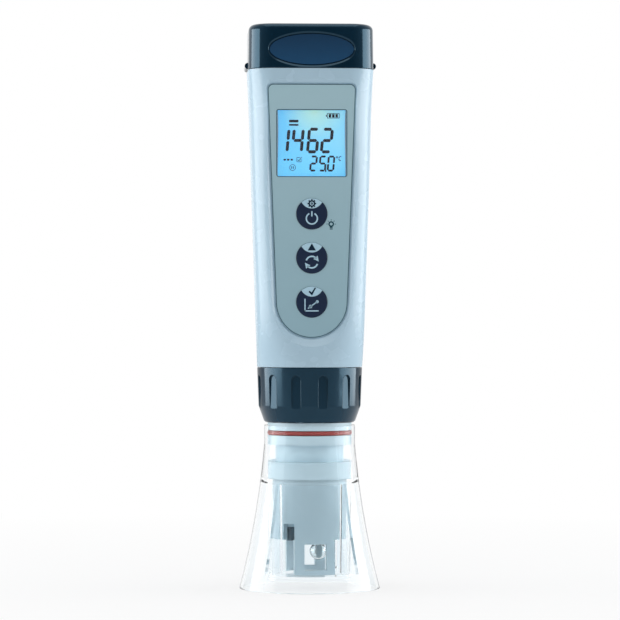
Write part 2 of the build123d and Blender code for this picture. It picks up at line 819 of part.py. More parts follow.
# Chassis: a block with four wells on a ribbed spine that stands on a screwed foot
foot_r = wall_inside - foot_clearance
with BuildPart() as battery_chassis:
    with BuildSketch(Plane.XY.offset(chassis_floor_z)):
        with Locations((0, -cell_block_ahead)):
            RectangleRounded(chassis_depth, chassis_depth, cell_r / 2)
    extrude(amount=chassis_top_z - chassis_floor_z)
    with BuildSketch(Plane.XY.offset(contact_foot_z)):
        with Locations((0, -cell_block_ahead)):
            with GridLocations(cell_pitch, cell_pitch, 2, 2):
                Circle(cell_r + cell_fit)
    extrude(amount=chassis_top_z - contact_foot_z, mode=Mode.SUBTRACT)
    with BuildSketch(Plane.XY.offset(contact_foot_z)):
        with Locations((0, -cell_block_ahead)):
            with GridLocations(0, cell_pitch, 1, 2):
                Rectangle(cell_pitch + contact_width, contact_width + 2 * cell_fit)
    extrude(amount=cell_foot_z - contact_foot_z, mode=Mode.SUBTRACT)
    with BuildSketch(Plane.XY.offset(socket_top_z)):
        with Locations((0, -chassis_front)):
            Rectangle(spine_width, spine_t, align=(Align.CENTER, Align.MIN))
        with Locations((spine_width / 2, -chassis_front), (spine_t - spine_width / 2, -chassis_front)):
            Rectangle(spine_t, spine_rib, align=(Align.MAX, Align.MIN))
    extrude(amount=chassis_floor_z - socket_top_z)
    with BuildSketch(Plane.XY.offset(socket_top_z)):
        Circle(foot_r)
    extrude(amount=foot_t)
    with BuildSketch(Plane.XY.offset(socket_top_z)):
        with Locations((0, -foot_r)):
            Rectangle(foot_window_width, foot_r + pin_pitch * pin_rows, align=(Align.CENTER, Align.MIN))
        with Locations(*foot_screw_spots):
            Circle(screw_r + screw_hole_gap)
    extrude(amount=foot_t, mode=Mode.SUBTRACT)
    with BuildSketch(Plane.XZ.offset(chassis_front - spine_t)):
        with Locations(*board_screw_spots):
            Circle(boss_r)
    extrude(amount=-screw_bite - screw_r)
    with BuildSketch(Plane.XZ.offset(chassis_front)):
        with Locations(*board_screw_spots):
            Circle(screw_r)
    extrude(amount=-spine_t - screw_bite, mode=Mode.SUBTRACT)

with BuildPart() as battery_cells:
    with BuildSketch(Plane.XY.offset(cell_foot_z)):
        with Locations((0, -cell_block_ahead)):
            with GridLocations(cell_pitch, cell_pitch, 2, 2):
                Circle(cell_r)
    extrude(amount=cell_length - cell_nub_height)
    with BuildSketch(Plane.XY.offset(cell_top_z - cell_nub_height)):
        with Locations((0, -cell_block_ahead)):
            with GridLocations(cell_pitch, cell_pitch, 2, 2):
                Circle(cell_nub_r)
    extrude(amount=cell_nub_height)


def bowed_contact(foot_z, bow):
    """Upright section of a strip that bridges two cells, with a bow under or over each."""
    with BuildSketch(Plane.XZ.offset(cell_block_ahead)) as strip:
        with Locations((0, foot_z)):
            Rectangle(cell_pitch + contact_width, contact_t)
        with Locations((-cell_pitch / 2, foot_z + bow / 2), (cell_pitch / 2, foot_z + bow / 2)):
            Rectangle(contact_width / 2, abs(bow) + contact_t)
            Rectangle(contact_width / 2 - 2 * contact_t, abs(bow) - contact_t, mode=Mode.SUBTRACT)
    return strip.sketch


with BuildPart() as lower_contacts:
    for side in (-1, 1):
        add(
            extrude(
                bowed_contact(contact_foot_z + contact_t / 2, contact_bow),
                amount=contact_width / 2,
                both=True,
                mode=Mode.PRIVATE,
            ).moved(Location((0, side * cell_pitch / 2, 0)))
        )

# Socket for the sensor's pins, screwed to the web between neck and cavity
tube_bore_r = pin_r + socket_tube_clearance
tube_r = tube_bore_r + socket_tube_wall
with BuildPart() as sensor_socket:
    with BuildSketch(Plane.XY.offset(web_foot_z + socket_setback)):
        Circle(web_bore_r - socket_fit)
    extrude(amount=web_t)
    with BuildSketch(Plane.XY.offset(web_top_z)):
        Circle(foot_r)
    extrude(amount=socket_flange_t)
    with BuildSketch(Plane.XY.offset(web_foot_z)):
        with pin_spots:
            Circle(tube_r)
        with Locations(*foot_screw_spots):
            Circle(screw_r + screw_hole_gap)
    extrude(amount=web_t + socket_flange_t, mode=Mode.SUBTRACT)

with BuildPart() as socket_contacts:
    with BuildSketch(Plane.XY.offset(web_foot_z + socket_setback)):
        with pin_spots:
            Circle(tube_r)
            Circle(tube_bore_r, mode=Mode.SUBTRACT)
    extrude(amount=web_t - socket_setback + socket_flange_t + socket_tube_stand)

with BuildPart() as socket_screws:
    with BuildSketch(Plane.XY.offset(foot_top_z)):
        with Locations(*foot_screw_spots):
            Circle(screw_head_r)
    extrude(amount=screw_head_t)
    with BuildSketch(Plane.XY.offset(foot_top_z)):
        with Locations(*foot_screw_spots):
            Circle(screw_r)
    extrude(amount=web_top_z - screw_bite - foot_top_z)

# Ribbon from the connector, round the board's foot and down to the socket
ribbon_ahead = board_front + connector_t / 2
ribbon_low_z = socket_top_z + ribbon_t / 2
with BuildPart() as sensor_ribbon:
    with BuildSketch(Plane.YZ):
        with BuildLine():
            ribbon_path = FilletPolyline(
                (-ribbon_ahead, board_foot_z),
                (-ribbon_ahead, ribbon_low_z),
                (-pin_pitch * pin_rows, ribbon_low_z),
                radius=3 * ribbon_t,
            )
        trace(line_width=ribbon_t)
    extrude(amount=ribbon_width / 2, both=True)

# Battery cap: a shell that closes the mouth with a sealed spigot
badge_floor = top_front - badge_depth
cap_void_z = cap_foot_z + cap_sole_t
cap_roof_z = cap_top_z - cap_wall
carrier_foot_z = cell_top_z + contact_bow / 2 + contact_t
carrier_top_z = carrier_foot_z + carrier_t
carrier_screw_x = mouth_width / 2 - spigot_fit - spigot_wall - screw_head_r - carrier_screw_margin
carrier_screw_spots = [(carrier_screw_x, -cell_block_ahead), (-carrier_screw_x, -cell_block_ahead)]
groove_foot_z = spigot_foot_z + cap_groove_rise
with BuildPart() as battery_cap:
    loft(
        [
            body_section(cap_foot_z, top_width, top_front, top_back, top_round),
            body_section(
                cap_top_z,
                top_width - 2 * cap_top_inset,
                top_front - cap_top_inset,
                top_back - cap_top_inset,
                top_round - cap_top_inset,
            ),
        ]
    )
    fillet(battery_cap.faces().sort_by(Axis.Z)[-1].edges(), cap_edge_round)
    loft(
        [
            body_section(
                cap_void_z, top_width - 2 * cap_wall, top_front - cap_wall, top_back - cap_wall, top_round - cap_wall
            ),
            body_section(
                cap_roof_z,
                top_width - 2 * cap_wall - 2 * cap_top_inset,
                top_front - cap_wall - cap_top_inset,
                top_back - cap_wall - cap_top_inset,
                top_round - cap_wall - cap_top_inset,
            ),
        ],
        mode=Mode.SUBTRACT,
    )
    extrude(mouth_section(spigot_foot_z, spigot_fit), amount=spigot_length)
    extrude(
        mouth_section(spigot_foot_z, spigot_fit + spigot_wall),
        amount=spigot_length + cap_sole_t,
        mode=Mode.SUBTRACT,
    )
    with BuildSketch(Plane.XY.offset(groove_foot_z)):
        add(mouth_section(0, 0))
        add(mouth_section(0, spigot_fit + cap_groove_depth), mode=Mode.SUBTRACT)
    extrude(amount=cap_groove_height, mode=Mode.SUBTRACT)
    # Half-round grips on the two narrow sides
    for side in (-1, 1):
        grip_plane = Plane(
            origin=(side * top_width / 2, (top_back - top_front) / 2, cap_foot_z + grip_rise), z_dir=(0, 1, 0)
        )
        with BuildSketch(grip_plane):
            Circle(grip_r)
        extrude(amount=grip_length / 2, both=True)
    loft(
        [badge_outline(badge_floor, 0), badge_outline(top_front + badge_depth, 2 * badge_bevel)],
        ruled=True,
        mode=Mode.SUBTRACT,
    )
    with BuildSketch(Plane.XY.offset(carrier_top_z)):
        with Locations(*carrier_screw_spots):
            Circle(boss_r)
    extrude(amount=cap_roof_z - carrier_top_z)
    with BuildSketch(Plane.XY.offset(carrier_top_z)):
        with Locations(*carrier_screw_spots):
            Circle(screw_r)
    extrude(amount=screw_bite, mode=Mode.SUBTRACT)

with BuildPart() as badge_inlay:
    extrude(badge_outline(badge_floor, 0), amount=badge_t)

with BuildPart() as cap_seal:
    with BuildSketch(Plane.XY.offset(groove_foot_z)):
        add(mouth_section(0, cap_seal_gap))
        add(mouth_section(0, spigot_fit + cap_groove_depth), mode=Mode.SUBTRACT)
    extrude(amount=cap_groove_height)

with BuildPart() as contact_carrier:
    extrude(mouth_section(carrier_foot_z, spigot_fit + spigot_wall + carrier_fit), amount=carrier_t)
    with BuildSketch(Plane.XY.offset(carrier_foot_z)):
        with Locations(*carrier_screw_spots):
            Circle(screw_r + screw_hole_gap)
    extrude(amount=carrier_t, mode=Mode.SUBTRACT)

with BuildPart() as upper_contacts:
    for side in (-1, 1):
        add(
            extrude(
                bowed_contact(carrier_foot_z - contact_t / 2, -contact_bow / 2),
                amount=contact_width / 2,
                both=True,
                mode=Mode.PRIVATE,
            ).moved(Location((0, side * cell_pitch / 2, 0)))
        )

with BuildPart() as carrier_screws:
    with BuildSketch(Plane.XY.offset(carrier_foot_z)):
        with Locations(*carrier_screw_spots):
            Circle(screw_head_r)
    extrude(amount=-screw_head_t)
    with BuildSketch(Plane.XY.offset(carrier_foot_z)):
        with Locations(*carrier_screw_spots):
            Circle(screw_r)
    extrude(amount=carrier_t + screw_bite)

# Every piece is written to its own file, under its own name
pieces = {
    "sample_cup": sample_cup,
    "sensor_body": sensor_body,
    "cup_o_ring": cup_o_ring,
    "plug_o_ring": plug_o_ring,
    "flange_gasket": flange_gasket,
    "glass_electrode": glass_electrode,
    "silver_wire": silver_wire,
    "conductivity_pins": conductivity_pins,
    "pin_sleeves": pin_sleeves,
    "temperature_probe": temperature_probe,
    "reference_junction": reference_junction,
    "sensor_potting": sensor_potting,
    "sensor_header": sensor_header,
    "sensor_pins": sensor_pins,
    "lock_collar": lock_collar,
    "housing": housing,
    "keypad_panel": keypad_panel,
    "display_window": display_window,
    "lcd_glass": lcd_glass,
    "backlight": backlight,
    "display_frame": display_frame,
    "elastomer_strips": elastomer_strips,
    "circuit_board": circuit_board,
    "snap_domes": snap_domes,
    "processor_chip": processor_chip,
    "ribbon_connector": ribbon_connector,
    "board_screws": board_screws,
    "battery_chassis": battery_chassis,
    "battery_cells": battery_cells,
    "lower_contacts": lower_contacts,
    "sensor_socket": sensor_socket,
    "socket_contacts": socket_contacts,
    "socket_screws": socket_screws,
    "sensor_ribbon": sensor_ribbon,
    "battery_cap": battery_cap,
    "badge_inlay": badge_inlay,
    "cap_seal": cap_seal,
    "contact_carrier": contact_carrier,
    "upper_contacts": upper_contacts,
    "carrier_screws": carrier_screws,
} | keys
for name, piece in pieces.items():
    piece.part.label = name
    export_step(piece.part, f"parts/{name}.step")
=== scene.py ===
import json
from math import acos, atan2, cos, degrees, hypot, pi, radians, sin

import bmesh
import bpy
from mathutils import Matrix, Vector


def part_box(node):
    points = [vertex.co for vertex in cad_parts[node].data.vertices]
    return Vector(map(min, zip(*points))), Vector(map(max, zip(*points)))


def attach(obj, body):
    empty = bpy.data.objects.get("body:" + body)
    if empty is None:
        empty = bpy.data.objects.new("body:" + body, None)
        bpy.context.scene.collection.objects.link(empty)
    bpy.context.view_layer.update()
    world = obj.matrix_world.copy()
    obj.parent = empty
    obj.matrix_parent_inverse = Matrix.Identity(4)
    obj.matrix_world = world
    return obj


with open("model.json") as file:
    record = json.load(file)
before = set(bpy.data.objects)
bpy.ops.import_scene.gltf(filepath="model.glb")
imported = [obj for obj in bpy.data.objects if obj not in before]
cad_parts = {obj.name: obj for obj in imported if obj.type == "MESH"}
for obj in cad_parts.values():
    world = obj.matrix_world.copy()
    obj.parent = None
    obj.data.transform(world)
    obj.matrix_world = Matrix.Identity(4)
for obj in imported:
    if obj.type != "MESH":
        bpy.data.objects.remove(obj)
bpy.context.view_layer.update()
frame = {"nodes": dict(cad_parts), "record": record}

# Pocket multiparameter meter in its clear sample cup: finishes, prints, thread, camera and light, in metres.
MM = 0.001

# Camera of the photograph: a long lens at mid height, a little to the left of the meter
CAMERA_DISTANCE = 1.044
CAMERA_HEIGHT = 0.0940
CAMERA_YAW = radians(2.6)
AIM_X = 0.00014
AIM_HEIGHT = 0.0967
VIEW_WIDTH = 0.2158
SENSOR_WIDTH = 36.0
CLIP_NEAR = 0.05
CLIP_FAR = 30.0

# Light: two wide cards at the sides, a softbox overhead and an even sky
CARD_X = 0.90
CARD_Y = 0.06
CARD_Z = 0.13
CARD_LENGTH = 0.92
CARD_HEIGHT = 0.52
CARD_POWER = 6.6
TOP_SIZE = 0.9
TOP_Y = -0.15
TOP_HEIGHT = 1.1
TOP_AIM_HEIGHT = 0.1
TOP_POWER = 3.2
SKY_SEEN = 1.0
SKY_STRENGTH = 0.55
# What gloss sees of the sky, from the side before the meter to the side behind it
SKY_GLOSS_AHEAD = 0.05
SKY_GLOSS_BEHIND = 1.15

# Floor: near the meter it keeps part of its own shade, further out it is plain white
FLOOR_R = 6.0
FLOOR_COLOUR = (0.86, 0.87, 0.88)
FLOOR_FADE_START = 0.03
FLOOR_FADE_END = 0.40
FLOOR_WHITE_LEAST = 0.74


# Nodes of a material or of the sky


def add_node(owner, kind, **values):
    """Node of a kind, with its sockets or properties set."""
    node = owner.node_tree.nodes.new(kind)
    for key, value in values.items():
        if key in node.inputs:
            node.inputs[key].default_value = value
        else:
            setattr(node, key, value)
    return node


def join(owner, source, target):
    """Link from one socket to another."""
    owner.node_tree.links.new(source, target)


def seen_directly(owner):
    """Value that is 1 for what the camera sees, straight or through something clear."""
    path = add_node(owner, "ShaderNodeLightPath")
    seen = add_node(owner, "ShaderNodeMath", operation="MAXIMUM")
    join(owner, path.outputs["Is Camera Ray"], seen.inputs[0])
    join(owner, path.outputs["Is Transmission Ray"], seen.inputs[1])
    return seen.outputs[0]


# Materials

# Noise between these two levels takes a varied socket from its low to its high value
VARIED_LOW = 0.35
VARIED_HIGH = 0.65

# Features per metre: the cloudiness of a plastic's colour, and of its gloss
CLOUD_SCALE = 60.0
GLOSS_SCALE = 140.0

# Drawn marks of a metal: how far its gloss varies, how much finer gloss and grain are than its colour
METAL_SPREAD = 0.3
METAL_GLOSS_FINER = 3
METAL_GRAIN_FINER = 6
METAL_GRAIN_DEPTH = 0.004 * MM

# Waviness of polished clear pieces
POLISH_SCALE = 70.0
POLISH_DEPTH = 0.010 * MM

# Lit display: its colours, its glow, and the place and reach of the lamp behind its top edge
LCD_LEFT = (0.105, 0.50, 0.84)
LCD_RIGHT = (0.225, 0.62, 0.84)
LCD_FOOT = (0.12, 0.56, 0.88)
LCD_LAMP = (0.42, 0.70, 0.62)
LCD_GLOW = 0.62
LAMP_X = 1.0 * MM
LAMP_DROP = 1.0 * MM
LAMP_REACH = 11.0 * MM

# Oval inlay and keypad film, each between the colours of its top and its foot: painted light and shade. The
# inlay is darker at its top and brighter at its foot, a painted reflection of a dished face; the film is
# paler at its top and darker at its foot, painted falloff of the light.
BADGE_SHADED_TOP = (0.005, 0.036, 0.088)
BADGE_LIT_FOOT = (0.008, 0.062, 0.150)
PANEL_LIT_TOP = (0.360, 0.530, 0.590)
PANEL_SHADED_FOOT = (0.285, 0.445, 0.515)

# Cells, from the top down: a bare nub, a copper band and a dark jacket
CELL_NUB = (0.58, 0.58, 0.56)
CELL_BAND = (0.42, 0.20, 0.08)
CELL_JACKET = (0.016, 0.018, 0.022)
CELL_NUB_DROP = 0.95 * MM
CELL_BAND_DROP = 10.0 * MM
CELL_EDGE = 0.1 * MM

# Printing ink: its darker share and the grain of the screen, in features per metre
INK_SHADE = 0.92
INK_GRAIN = 900.0


def new_material(name, **values):
    """Material with one Principled shader, whose sockets take the given values."""
    material = bpy.data.materials.new(name)
    material.use_nodes = True
    shader = shader_of(material)
    for socket, value in values.items():
        shader.inputs[socket.replace("_", " ")].default_value = value
    return material


def shader_of(material):
    """The material's Principled shader."""
    return material.node_tree.nodes["Principled BSDF"]


def place_of(material):
    """Vector socket with the place on the piece, in metres."""
    return add_node(material, "ShaderNodeTexCoord").outputs["Object"]


def rough_skin(material, scale, depth, detail=3.0, edge=0.0):
    """Fine bump over the whole surface: scale in features per metre, depth and edge radius in metres."""
    noise = add_node(material, "ShaderNodeTexNoise", Scale=scale, Detail=detail)
    bump = add_node(material, "ShaderNodeBump", Distance=depth, Strength=1.0)
    if edge:
        rounded = add_node(material, "ShaderNodeBevel", samples=8, Radius=edge)
        join(material, rounded.outputs["Normal"], bump.inputs["Normal"])
    join(material, place_of(material), noise.inputs["Vector"])
    join(material, noise.outputs["Fac"], bump.inputs["Height"])
    join(material, bump.outputs["Normal"], shader_of(material).inputs["Normal"])


def varied(material, socket, low, high, scale):
    """Slow variation of a socket between two values or two colours."""
    noise = add_node(material, "ShaderNodeTexNoise", Scale=scale, Detail=2.0)
    ramp = add_node(material, "ShaderNodeValToRGB")
    for element, level, value in zip(ramp.color_ramp.elements, (VARIED_LOW, VARIED_HIGH), (low, high)):
        element.position = level
        colour = value if isinstance(value, tuple) else (value, value, value)
        element.color = (*colour, 1.0)
    join(material, place_of(material), noise.inputs["Vector"])
    join(material, noise.outputs["Fac"], ramp.inputs["Fac"])
    join(material, ramp.outputs["Color"], shader_of(material).inputs[socket])


def along(material, axis, start, end):
    """Value that rises from 0 to 1 between two places along an axis."""
    split = add_node(material, "ShaderNodeSeparateXYZ")
    span = add_node(material, "ShaderNodeMapRange", **{"From Min": start, "From Max": end})
    join(material, place_of(material), split.inputs["Vector"])
    join(material, split.outputs[axis], span.inputs["Value"])
    return span.outputs["Result"]


def blended(material, factor, first, second):
    """Colour between two colours or colour sockets."""
    mix = add_node(material, "ShaderNodeMix", data_type="RGBA")
    join(material, factor, mix.inputs["Factor"])
    for socket, value in (("A", first), ("B", second)):
        target = next(s for s in mix.inputs if s.name == socket and s.type == "RGBA")
        if isinstance(value, tuple):
            target.default_value = (*value, 1.0)
        else:
            join(material, value, target)
    return next(s for s in mix.outputs if s.type == "RGBA")


def plastic(name, low, high, roughness, grain, depth, specular=0.5, spread=0.12, edge=0.0, **more):
    """Moulded plastic: a faint cloudiness in its colour and gloss, and a fine moulded grain."""
    material = new_material(name, Specular_IOR_Level=specular, **more)
    varied(material, "Base Color", low, high, CLOUD_SCALE)
    varied(material, "Roughness", roughness * (1 - spread), roughness * (1 + spread), GLOSS_SCALE)
    rough_skin(material, grain, depth, edge=edge)
    return material


def metal(name, low, high, roughness, scale):
    """Bare metal with fine drawn marks."""
    material = new_material(name, Metallic=1.0)
    varied(material, "Base Color", low, high, scale)
    dull, bright = roughness * (1 + METAL_SPREAD), roughness * (1 - METAL_SPREAD)
    varied(material, "Roughness", bright, dull, METAL_GLOSS_FINER * scale)
    rough_skin(material, METAL_GRAIN_FINER * scale, METAL_GRAIN_DEPTH)
    return material


def clear(name, tint, ior):
    """Clear glass or plastic with a faint waviness of its polish."""
    material = new_material(name, Base_Color=(*tint, 1.0), IOR=ior, Roughness=0.0, Transmission_Weight=1.0)
    rough_skin(material, POLISH_SCALE, POLISH_DEPTH, detail=1.0)
    return material


def lcd_material():
    """Lit display: cyan blue at the left, paler at the right and yellowish at the top where the lamp sits."""
    material = new_material("lcd", Roughness=0.18, Emission_Strength=LCD_GLOW)
    low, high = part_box("display_window")
    sideways = blended(material, along(material, "X", low.x, high.x), LCD_LEFT, LCD_RIGHT)
    warm = add_node(material, "ShaderNodeTexGradient", gradient_type="SPHERICAL")
    mapping = add_node(material, "ShaderNodeMapping", vector_type="POINT")
    mapping.inputs["Scale"].default_value = (1 / LAMP_REACH, 0.0, 1 / LAMP_REACH)
    lamp_z = high.z - LAMP_DROP
    mapping.inputs["Location"].default_value = (-LAMP_X / LAMP_REACH, 0.0, -lamp_z / LAMP_REACH)
    join(material, place_of(material), mapping.inputs["Vector"])
    join(material, mapping.outputs["Vector"], warm.inputs["Vector"])
    glowing = blended(material, warm.outputs["Fac"], sideways, LCD_LAMP)
    lit = blended(material, along(material, "Z", low.z, (low.z + high.z) / 2), LCD_FOOT, glowing)
    join(material, lit, shader_of(material).inputs["Base Color"])
    join(material, lit, shader_of(material).inputs["Emission Color"])
    return material


def badge_material():
    """Blue oval with a painted reflection: darker at its top and brighter towards its foot, as a dished face
    would catch the light.
    """
    material = new_material("badge_blue", Roughness=0.25)
    low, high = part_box("badge_inlay")
    # Painted shade at the top and painted reflection at the foot stand in for the dish
    blue = blended(material, along(material, "Z", high.z, low.z), BADGE_SHADED_TOP, BADGE_LIT_FOOT)
    join(material, blue, shader_of(material).inputs["Base Color"])
    rough_skin(material, scale=900.0, depth=0.004 * MM)
    return material


def panel_material():
    """Grey film with a fine satin texture and painted light: paler at its top, a little darker towards its
    foot where the light falls off.
    """
    material = new_material("panel_film", Roughness=0.42, Specular_IOR_Level=0.35)
    low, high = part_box("keypad_panel")
    # Painted light: the top-to-foot change of grey stands in for the light falling off down the film
    grey = blended(material, along(material, "Z", low.z, high.z), PANEL_SHADED_FOOT, PANEL_LIT_TOP)
    join(material, grey, shader_of(material).inputs["Base Color"])
    rough_skin(material, scale=3200.0, depth=0.003 * MM)
    return material


def cell_material():
    """Cells in a dark jacket with a copper band at the top and a bare steel nub."""
    material = new_material("cell_jacket", Roughness=0.28)
    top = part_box("battery_cells")[1].z
    band_z, nub_z = top - CELL_BAND_DROP, top - CELL_NUB_DROP
    band = along(material, "Z", band_z, band_z + CELL_EDGE)
    nub = along(material, "Z", nub_z, nub_z + CELL_EDGE)
    wrapped = blended(material, band, CELL_JACKET, CELL_BAND)
    colour = blended(material, nub, wrapped, CELL_NUB)
    join(material, colour, shader_of(material).inputs["Base Color"])
    join(material, nub, shader_of(material).inputs["Metallic"])
    rough_skin(material, scale=2400.0, depth=0.004 * MM)
    return material


def print_material(name, colour):
    """Printing ink with the faint unevenness of a screen print."""
    material = new_material(name, Roughness=0.6, Specular_IOR_Level=0.1)
    shade = tuple(INK_SHADE * channel for channel in colour)
    varied(material, "Base Color", shade, colour, INK_GRAIN)
    return material


# Darker and paler colour, roughness, grain in features per metre and its depth in metres
PLASTICS = {
    "white_sensor": dict(
        low=(0.50, 0.66, 0.74), high=(0.55, 0.71, 0.79), roughness=0.32, grain=700.0, depth=0.0006 * MM
    ),
    "red_rubber": dict(
        low=(0.30, 0.030, 0.026), high=(0.36, 0.040, 0.034), roughness=0.5, grain=2200.0, depth=0.006 * MM
    ),
    "grey_rubber": dict(
        low=(0.030, 0.032, 0.036), high=(0.045, 0.048, 0.052), roughness=0.6, grain=2200.0, depth=0.006 * MM
    ),
    "graphite": dict(
        low=(0.060, 0.110, 0.145), high=(0.085, 0.145, 0.185), roughness=0.45, grain=3200.0, depth=0.008 * MM
    ),
    "junction_white": dict(
        low=(0.66, 0.66, 0.62), high=(0.76, 0.76, 0.72), roughness=0.8, grain=4200.0, depth=0.02 * MM
    ),
    "potting_resin": dict(
        low=(0.52, 0.64, 0.70), high=(0.58, 0.70, 0.76), roughness=0.22, grain=300.0, depth=0.01 * MM
    ),
    "board_green": dict(
        low=(0.012, 0.120, 0.055), high=(0.018, 0.150, 0.070), roughness=0.35, grain=1500.0, depth=0.01 * MM
    ),
    "navy_plastic": dict(
        low=(0.0022, 0.015, 0.030), high=(0.0030, 0.018, 0.036), roughness=0.12, grain=1900.0,
        depth=0.0015 * MM, specular=0.6, edge=0.35 * MM, Specular_Tint=(0.42, 0.76, 1.0, 1.0),
    ),
    "white_housing": dict(
        low=(0.402, 0.562, 0.672), high=(0.408, 0.568, 0.678), roughness=0.27, grain=700.0,
        depth=0.0004 * MM, spread=0.02,
    ),
    "light_guide": dict(
        low=(0.70, 0.84, 0.92), high=(0.76, 0.90, 0.97), roughness=0.3, grain=1500.0, depth=0.01 * MM
    ),
    "grey_plastic": dict(
        low=(0.20, 0.21, 0.22), high=(0.24, 0.25, 0.26), roughness=0.4, grain=2400.0, depth=0.006 * MM
    ),
    "black_plastic": dict(
        low=(0.012, 0.013, 0.015), high=(0.018, 0.019, 0.021), roughness=0.4, grain=2400.0, depth=0.006 * MM
    ),
    "ribbon_film": dict(
        low=(0.42, 0.20, 0.05), high=(0.50, 0.25, 0.07), roughness=0.3, grain=1500.0, depth=0.004 * MM
    ),
    "key_navy": dict(
        low=(0.0042, 0.015, 0.046), high=(0.0056, 0.019, 0.056), roughness=0.38, grain=2600.0,
        depth=0.004 * MM, specular=0.35,
    ),
}

# Darker and paler colour, roughness, and marks per metre
METALS = {
    "silver": dict(low=(0.42, 0.45, 0.48), high=(0.55, 0.58, 0.60), roughness=0.30, scale=900.0),
    "steel": dict(low=(0.52, 0.54, 0.56), high=(0.62, 0.64, 0.66), roughness=0.26, scale=700.0),
    "gold": dict(low=(0.80, 0.52, 0.18), high=(0.88, 0.60, 0.24), roughness=0.22, scale=900.0),
}

CLEARS = {
    "clear_cup": dict(tint=(0.962, 0.984, 0.995), ior=1.19),
    "electrode_glass": dict(tint=(0.90, 0.95, 0.96), ior=1.50),
    "window_clear": dict(tint=(0.97, 0.99, 1.0), ior=1.49),
}

MATERIALS = {
    "panel_film": panel_material(),
    "lcd": lcd_material(),
    "cell_jacket": cell_material(),
    "badge_blue": badge_material(),
}
for make, finishes in ((plastic, PLASTICS), (metal, METALS), (clear, CLEARS)):
    for name, values in finishes.items():
        MATERIALS[name] = make(name, **values)

INK_LIGHT = print_material("ink_light", (0.42, 0.62, 0.74))
INK_DARK = print_material("ink_dark", (0.006, 0.020, 0.045))
INK_TEAL = print_material("ink_teal", (0.018, 0.070, 0.100))
# Dark ink for the line round the panel, also the painted shade round the window
INK_LINE_AND_SHADE = print_material("ink_line_and_shade", (0.060, 0.120, 0.155))
INK_SEGMENT = print_material("ink_segment", (0.003, 0.004, 0.022))

for part in frame["record"]["subparts"]:
    shape = frame["nodes"][part["node"]].data
    shape.materials.clear()
    shape.materials.append(MATERIALS[part["material_slot"]])


# Outlines of (x, z) points, and closed solids between planes across Y


def prism(mesh, outline, back, front):
    """Closed prism over an outline."""
    rings = [[mesh.verts.new((x, y, z)) for x, z in outline] for y in (back, front)]
    mesh.faces.new(rings[0])
    mesh.faces.new(reversed(rings[1]))
    count = len(outline)
    for i in range(count):
        j = (i + 1) % count
        mesh.faces.new((rings[0][j], rings[0][i], rings[1][i], rings[1][j]))


def band_prism(mesh, outer, inner, back, front):
    """Closed flat band between two outlines with as many points."""
    loops = []
    for outline, y in ((outer, back), (outer, front), (inner, front), (inner, back)):
        loops.append([mesh.verts.new((x, y, z)) for x, z in outline])
    for first, second in zip(loops, loops[1:] + loops[:1]):
        for i in range(len(outer)):
            j = (i + 1) % len(outer)
            mesh.faces.new((first[i], first[j], second[j], second[i]))


def swept(mesh, sections):
    """Closed solid through a row of sections, each a list of points in space."""
    loops = [[mesh.verts.new(point) for point in section] for section in sections]
    for first, second in zip(loops, loops[1:]):
        for i in range(len(first)):
            j = (i + 1) % len(first)
            mesh.faces.new((first[i], first[j], second[j], second[i]))
    mesh.faces.new(loops[0])
    mesh.faces.new(reversed(loops[-1]))


def arc_points(x, z, radius, start, end, count):
    """Points on an arc about a centre, angles in degrees from +X towards +Z."""
    angles = [radians(start + (end - start) * i / (count - 1)) for i in range(count)]
    return [(x + radius * cos(a), z + radius * sin(a)) for a in angles]


def circle_points(x, z, radius, count=40):
    """Points round a whole circle."""
    return arc_points(x, z, radius, 0, 360 - 360 / count, count)


def arc_band(x, z, inner, outer, start, end, count=25):
    """Outline of a band that follows an arc."""
    return arc_points(x, z, outer, start, end, count) + arc_points(x, z, inner, end, start, count)


def bar(start, end, width):
    """Outline of a straight stroke with square ends."""
    (x0, z0), (x1, z1) = start, end
    length = hypot(x1 - x0, z1 - z0)
    nx, nz = -(z1 - z0) / length * width / 2, (x1 - x0) / length * width / 2
    return [(x0 + nx, z0 + nz), (x0 - nx, z0 - nz), (x1 - nx, z1 - nz), (x1 + nx, z1 + nz)]


def finish_piece(name, mesh, material, body):
    """Object from a bmesh, with its material, riding on a body."""
    bmesh.ops.recalc_face_normals(mesh, faces=mesh.faces)
    data = bpy.data.meshes.new(name)
    mesh.to_mesh(data)
    mesh.free()
    data.materials.append(material)
    piece = bpy.data.objects.new(name, data)
    bpy.context.scene.collection.objects.link(piece)
    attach(piece, body)
    return piece


# Prints: a drawing is a list of outlines and a list of rings (x, z, inner radius, outer radius),
# in millimetres about a place on the plane that carries it

PRINT_T = 0.02 * MM


def flat_print(name, drawing, place, plane, material, body, layer=1):
    """Printed drawing on a plane at -Y, in a layer counted from the surface: 1 is the first."""
    x_place, z_place = place

    def in_metres(outline):
        return [(x_place + x * MM, z_place + z * MM) for x, z in outline]

    outlines, rings = drawing
    mesh = bmesh.new()
    back = plane - (layer - 1) * PRINT_T
    front = plane - layer * PRINT_T
    for outline in outlines:
        prism(mesh, in_metres(outline), back, front)
    for x, z, inner, outer in rings:
        band_prism(
            mesh, in_metres(circle_points(x, z, outer)), in_metres(circle_points(x, z, inner)), back, front
        )
    finish_piece(name, mesh, material, body)


# Seven-segment figures, slanted as on the real display

SLANT = 0.09
SEGMENT_GAP = 0.14
SEGMENTS = {"0": "abcdef", "1": "bc", "2": "abged", "4": "fgbc", "5": "afgcd", "6": "afgcde", "C": "afed"}


